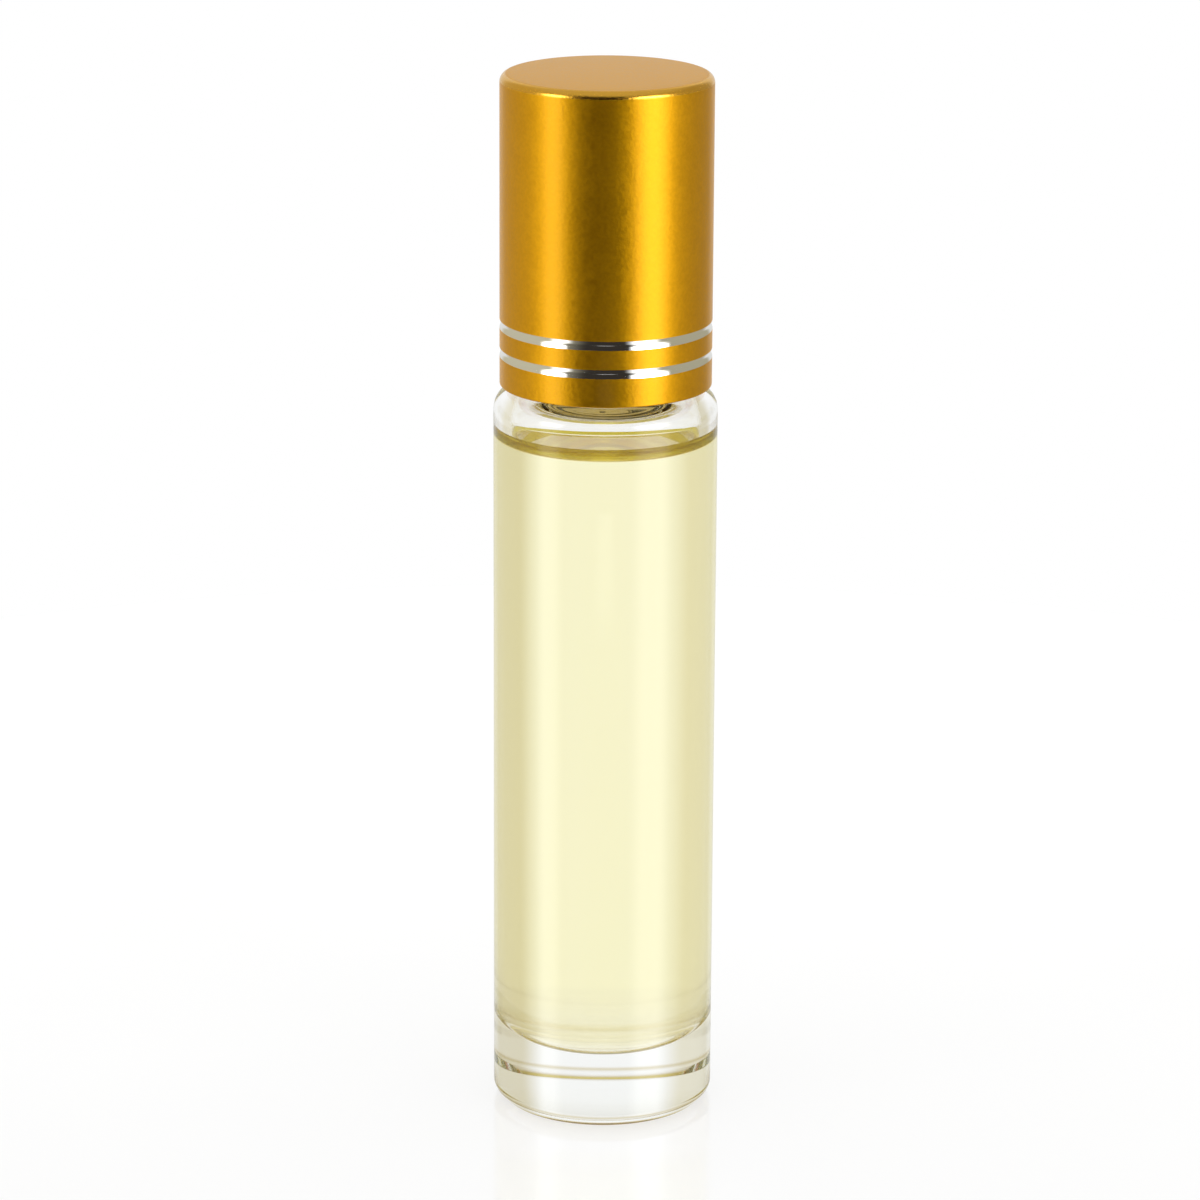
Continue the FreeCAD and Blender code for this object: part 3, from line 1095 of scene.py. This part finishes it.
@dataclass
class Cap:
    """Gold shell with bright bands, its moulded liner and the foam pad that seals the ball."""

    neck: Neck
    lathe: Lathe = field(default_factory=Lathe)
    radius: float = 9.45
    wall: float = 0.45
    rim_height: float = 67.2
    top: float = 95.1
    crown_thickness: float = 0.5
    crown_rounding: float = 0.75
    rim_rounding: float = 0.15
    band_middles: tuple[float, ...] = (70.215, 72.75)
    band_width: float = 0.8
    band_depth: float = 0.13
    band_rounding: float = 0.4
    liner_radius: float = 8.77
    liner_setback: float = 0.4
    liner_top: float = 94.57
    liner_top_rounding: float = 0.1
    liner_rim_rounding: float = 0.15
    web_top: float = 90.0
    web_bottom: float = 88.8
    web_rounding: float = 0.4
    pad_seat: float = 6.6
    pad_seat_rounding: float = 0.04
    pad_radius: float = 6.5
    pad_bottom: float = 87.25
    pad_top: float = 88.75
    pad_rounding: float = 0.35
    dimple_radius: float = 1.714
    dimple_depth: float = 0.3
    dimple_rounding: float = 0.8
    dimple_rim_rounding: float = 0.5
    bead_radius: float = 6.3
    bead_height: float = 0.4
    bead_clearance: float = 0.05
    bead_foot_rounding: float = 0.15
    bead_top_rounding: float = 0.1
    shell_crease_deg: float = 12.0

    def build(self) -> None:
        """Builds the shell, the liner and the pad."""
        self.build_shell()
        self.build_liner()
        self.build_pad()

    def build_shell(self) -> bpy.types.Object:
        """Builds the shell and gives its bands their bright cut.

        Returns:
            The shell.
        """
        bore = self.radius - self.wall
        half_band = self.band_width / 2
        bands = [
            corner
            for middle in self.band_middles
            for corner in (
                Corner(self.radius, middle - half_band),
                Corner(self.radius - self.band_depth, middle, self.band_rounding),
                Corner(self.radius, middle + half_band),
            )
        ]
        mesh = self.lathe.turn([
            Corner(0.0, self.top - self.crown_thickness),
            Corner(bore, self.top - self.crown_thickness, self.crown_rounding / 2),
            Corner(bore, self.rim_height, self.rim_rounding),
            Corner(self.radius, self.rim_height, self.rim_rounding),
            *bands,
            Corner(self.radius, self.top, self.crown_rounding),
            Corner(0.0, self.top),
        ])
        for face in mesh.faces:
            centre = face.calc_center_median()
            outside = math.hypot(centre.x, centre.y) > (bore + self.wall / 2) * MM
            in_band = any(abs(centre.z / MM - middle) < half_band for middle in self.band_middles)
            face.material_index = int(outside and in_band)
        return make_piece(
            "shell", mesh, [SatinGold("satin_gold"), BrightCut("bright_cut")], Body.CAP,
            "cap_shell", crease_deg=self.shell_crease_deg,
        )

    def build_liner(self) -> bpy.types.Object:
        """Builds the liner: threaded bore, bead that keeps the pad, and web.

        Returns:
            The liner.
        """
        neck = self.neck
        bore = neck.radius + neck.thread_room
        bottom = self.rim_height + self.liner_setback
        thread = neck.thread(bore, neck.thread_start + neck.pitch / 2, ThreadSide.INWARD)
        bead_top = self.pad_bottom - self.bead_clearance
        bead_bottom = bead_top - self.bead_height
        mesh = self.lathe.turn([
            Corner(0.0, self.web_top),
            Corner(bore, self.web_top, self.web_rounding),
            Corner(bore, self.liner_top, self.liner_top_rounding),
            Corner(self.liner_radius, self.liner_top, self.liner_top_rounding),
            Corner(self.liner_radius, bottom, self.liner_rim_rounding),
            Corner(bore, bottom, self.liner_rim_rounding),
            *thread.wall(),
            Corner(bore, bead_bottom - (bore - self.bead_radius)),
            Corner(self.bead_radius, bead_bottom, self.bead_foot_rounding),
            Corner(self.bead_radius, bead_top, self.bead_top_rounding),
            Corner(self.pad_seat, bead_top),
            Corner(self.pad_seat, self.web_bottom, self.pad_seat_rounding),
            Corner(0.0, self.web_bottom),
        ])
        thread.cut(mesh)
        return make_piece(
            "liner", mesh, [MouldedPlastic("liner_plastic")], Body.CAP, "cap_liner"
        )

    def build_pad(self) -> bpy.types.Object:
        """Builds the foam pad, dimpled where it presses on the ball.

        Returns:
            The pad.
        """
        dimple_top = self.pad_bottom + self.dimple_depth
        mesh = self.lathe.turn([
            Corner(0.0, dimple_top),
            Corner(self.dimple_radius / 2, dimple_top, self.dimple_rounding),
            Corner(self.dimple_radius, self.pad_bottom, self.dimple_rim_rounding),
            Corner(self.pad_radius, self.pad_bottom, self.pad_rounding),
            Corner(self.pad_radius, self.pad_top, self.pad_rounding),
            Corner(0.0, self.pad_top),
        ])
        pad = make_piece(
            "pad", mesh, [ClosedCellFoam("pad_foam")], Body.PAD, "sealing_pad"
        )
        return pad


@dataclass(frozen=True)
class SoftBox:
    """A tall soft box: its bearings from the camera's side, in degrees, and its brightness."""

    start_deg: float
    end_deg: float
    edge_deg: float
    brightness: float


@dataclass
class Studio:
    """White table, soft surround and camera.

    Camera sizes are in millimetres or pixels, the table and the card in metres. Ranges are parts of a
    direction's unit vector, over which one light eases into the next.
    """

    table_radius: float = 0.17
    table_gap_mm: float = 0.02
    table_sides: int = 128
    card_reach: float = 0.175
    card_size: float = 0.12
    camera_distance: float = 461.61
    camera_elevation_deg: float = 16.083
    camera_roll_deg: float = 0.3026
    camera_focus_px: float = 5124.07
    camera_offset_px: float = 4.56
    target_height: float = 47.096
    sensor_mm: float = 36.0
    clip_start: float = 0.01
    light_bounces: int = 128
    box_foot: tuple[float, float] = (-0.85, -0.70)
    box_head: tuple[float, float] = (0.40, 0.70)
    box_lift: float = 3.5
    lift_foot: tuple[float, float] = (0.1, 0.25)
    lift_head: tuple[float, float] = (0.35, 0.5)
    middle_range: tuple[float, float] = (-0.05, 0.05)
    left_box: SoftBox = SoftBox(48.0, 70.0, 7.0, 1.42)
    right_box: SoftBox = SoftBox(34.0, 66.0, 10.0, 2.0)
    flag_shade: tuple[float, ...] = (0.035, 0.03, 0.025, 1.0)
    flag_end_deg: float = 70.0
    flag_start_deg: float = 20.0
    side_shade: tuple[float, ...] = (0.56, 0.52, 0.38, 1.0)
    right_shade: tuple[float, ...] = (0.42, 0.39, 0.28, 1.0)
    back_shade: tuple[float, ...] = (0.78, 0.78, 0.76, 1.0)
    back_start_deg: float = 140.0
    back_end_deg: float = 155.0
    overhead_shade: tuple[float, ...] = (0.6, 0.6, 0.6, 1.0)
    overhead_range: tuple[float, float] = (0.55, 0.9)
    sweep_start_deg: float = 142.0
    sweep_end_deg: float = 158.0
    front_start_deg: float = 60.0
    front_end_deg: float = 30.0
    side_glow: tuple[float, ...] = (0.71, 0.66, 0.50, 1.0)
    left_glow: tuple[float, ...] = (0.83, 0.79, 0.65, 1.0)
    ceiling_glow: tuple[float, ...] = (0.52, 0.48, 0.36, 1.0)
    ceiling_range: tuple[float, float] = (0.35, 0.65)
    soft_level: float = 0.8
    soft_box_share: float = 0.3

    def build(self) -> None:
        """Lays the table, lights it and sets the camera."""
        self.lay_table()
        self.lay_card()
        self.light()
        self.set_camera()
        paths = bpy.context.scene.cycles
        paths.max_bounces = paths.glossy_bounces = paths.transmission_bounces = self.light_bounces
        view = bpy.context.scene.view_settings
        view.view_transform = "Standard"
        view.look = "None"

    def lay_table(self) -> None:
        """Lays a round white table top."""
        mesh = bmesh.new()
        bmesh.ops.create_circle(
            mesh, cap_ends=True, segments=self.table_sides, radius=self.table_radius,
            matrix=Matrix.Translation(AXIS * -self.table_gap_mm * MM),
        )
        table = self._set_out("table", mesh, WhiteTable("white_table"))
        table.visible_transmission = table.visible_glossy = False

    def lay_card(self) -> None:
        """Lays a white card in front, which only shiny surfaces mirror."""
        mesh = bmesh.new()
        bmesh.ops.create_grid(
            mesh, x_segments=1, y_segments=1, size=self.card_size / 2,
            matrix=Matrix.Translation((0.0, -self.card_reach - self.card_size / 2, 0.0)),
        )
        card = self._set_out("card", mesh, FadingCard("white_card"))
        card.visible_camera = card.visible_transmission = card.visible_diffuse = False

    @staticmethod
    def _set_out(name: str, mesh: bmesh.types.BMesh, finish: Finish) -> bpy.types.Object:
        """Puts a mesh in the scene.

        Args:
            name: The object's name.
            mesh: Its mesh, which is freed.
            finish: Its finish.

        Returns:
            The object.
        """
        data = bpy.data.meshes.new(name)
        mesh.to_mesh(data)
        mesh.free()
        data.materials.append(finish.material())
        made = bpy.data.objects.new(name, data)
        bpy.context.scene.collection.objects.link(made)
        return made

    def light(self) -> None:
        """Lights the scene from a surround with two tall soft boxes and a dark flag by the camera."""
        world = bpy.data.worlds.new("studio")
        world.use_nodes = True
        world.cycles.sampling_method = "NONE"
        bpy.context.scene.world = world
        graph = Graph(world.node_tree)
        direction = graph.node("ShaderNodeTexCoord", output="Generated")
        parts = {
            axis: graph.node("ShaderNodeSeparateXYZ", None, {0: direction}, axis) for axis in "XYZ"
        }
        bearing = graph.maths("ARCTAN2", graph.maths("ABSOLUTE", parts["X"]), 0.0 - parts["Y"])
        mirrored = self._mirrored(graph, bearing, parts)
        seen_through = self._seen_through(graph, bearing, parts)
        soft = self._soft(graph, bearing, parts)
        ray = {
            kind: graph.node("ShaderNodeLightPath", output=kind)
            for kind in ("Is Camera Ray", "Is Glossy Ray", "Is Transmission Ray")
        }
        colour = graph.mix(ray["Is Camera Ray"], soft, WHITE)
        colour = graph.mix(ray["Is Glossy Ray"], colour, mirrored)
        colour = graph.mix(ray["Is Transmission Ray"], colour, seen_through)
        background = graph.node("ShaderNodeBackground", None, {"Color": colour})
        graph.node("ShaderNodeOutputWorld", None, {"Surface": background})

    @staticmethod
    def _grey(graph: Graph, value: Value) -> Value:
        """A number as a grey colour."""
        return graph.node("ShaderNodeCombineColor", None, {0: value, 1: value, 2: value})

    def _boxes(self, graph: Graph, bearing: Value, parts: Mapping[str, Value]) -> Value:
        """The brightness of the two soft boxes.

        Args:
            graph: The surround's graph.
            bearing: The angle from the camera's side.
            parts: The direction's parts.

        Returns:
            The brightness, zero outside the boxes.
        """
        up = parts["Z"]
        upright = graph.step(up, *self.box_foot) - graph.step(up, *self.box_head)
        lifted = graph.step(up, *self.lift_foot) - graph.step(up, *self.lift_head)
        on_right = graph.step(parts["X"], *self.middle_range)
        left, right = (
            (
                self._past(graph, bearing, box.start_deg - box.edge_deg, box.start_deg + box.edge_deg)
                - self._past(graph, bearing, box.end_deg - box.edge_deg, box.end_deg + box.edge_deg)
            )
            * box.brightness
            for box in (self.left_box, self.right_box)
        )
        boxes = left * (1.0 - on_right) + right * on_right
        return boxes * upright * (lifted * self.box_lift + 1.0)

    @staticmethod
    def _past(graph: Graph, bearing: Value, start_deg: float, end_deg: float) -> Value:
        """Eases from 0 to 1 over a range of bearings."""
        return graph.step(bearing, math.radians(start_deg), math.radians(end_deg))

    def _mirrored(self, graph: Graph, bearing: Value, parts: Mapping[str, Value]) -> Value:
        """What shiny surfaces mirror.

        Args:
            graph: The surround's graph.
            bearing: The angle from the camera's side.
            parts: The direction's parts.

        Returns:
            The colour.
        """
        past_flag = self._past(graph, bearing, self.flag_start_deg, self.flag_end_deg)
        on_right = graph.step(parts["X"], *self.middle_range)
        sides = graph.mix(on_right, self.side_shade, self.right_shade)
        around = graph.mix(past_flag, self.flag_shade, sides)
        behind = self._past(graph, bearing, self.back_start_deg, self.back_end_deg)
        back = graph.mix(behind, around, self.back_shade)
        high = graph.step(parts["Z"], *self.overhead_range)
        overhead = graph.mix(high, back, self.overhead_shade)
        boxes = self._grey(graph, self._boxes(graph, bearing, parts))
        return graph.node(
            "ShaderNodeMix",
            {"data_type": "RGBA", "blend_type": "ADD"},
            {"Factor_Float": 1.0, "A_Color": overhead, "B_Color": boxes},
            "Result_Color",
        )

    def _seen_through(self, graph: Graph, bearing: Value, parts: Mapping[str, Value]) -> Value:
        """What shows through the glass: white in front and behind, duller at the sides and overhead.

        Args:
            graph: The surround's graph.
            bearing: The angle from the camera's side.
            parts: The direction's parts.

        Returns:
            The colour.
        """
        behind = self._past(graph, bearing, self.sweep_start_deg, self.sweep_end_deg)
        front = self._past(graph, bearing, self.front_start_deg, self.front_end_deg)
        on_right = graph.step(parts["X"], *self.middle_range)
        sides = graph.mix(on_right, self.left_glow, self.side_glow)
        around = graph.mix(behind + front, sides, WHITE)
        return graph.mix(graph.step(parts["Z"], *self.ceiling_range), around, self.ceiling_glow)

    def _soft(self, graph: Graph, bearing: Value, parts: Mapping[str, Value]) -> Value:
        """What lights matt surfaces.

        Args:
            graph: The surround's graph.
            bearing: The angle from the camera's side.
            parts: The direction's parts.

        Returns:
            The colour.
        """
        boxes = self._boxes(graph, bearing, parts)
        return self._grey(graph, boxes * self.soft_box_share + self.soft_level)

    def set_camera(self) -> None:
        """Sets the camera where the photograph was taken from."""
        elevation = math.radians(self.camera_elevation_deg)
        roll = math.radians(self.camera_roll_deg)
        back = Vector((0.0, -math.cos(elevation), math.sin(elevation)))
        right = Vector((1.0, 0.0, 0.0))
        up = Vector((0.0, math.sin(elevation), math.cos(elevation)))
        turned_right = math.cos(roll) * right + math.sin(roll) * up
        turned_up = math.cos(roll) * up - math.sin(roll) * right
        data = bpy.data.cameras.new("camera")
        data.sensor_width = self.sensor_mm
        data.lens = self.camera_focus_px / IMAGE_SIDE * self.sensor_mm
        data.shift_x = -self.camera_offset_px / IMAGE_SIDE
        data.clip_start = self.clip_start
        camera = bpy.data.objects.new("camera", data)
        place = back * self.camera_distance * MM + AXIS * self.target_height * MM
        facing = Matrix((turned_right, turned_up, back)).transposed().to_4x4()
        camera.matrix_world = Matrix.Translation(place) @ facing
        bpy.context.scene.collection.objects.link(camera)
        bpy.context.scene.camera = camera


def main() -> None:
    """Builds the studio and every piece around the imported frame."""
    logging.basicConfig(level=logging.INFO, format="%(name)s: %(message)s")
    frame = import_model()
    Studio().build()
    neck = Neck()
    Bottle(neck).build()
    Roller(neck).build(frame["nodes"])
    Cap(neck).build()


if __name__ == "__main__":
    main()
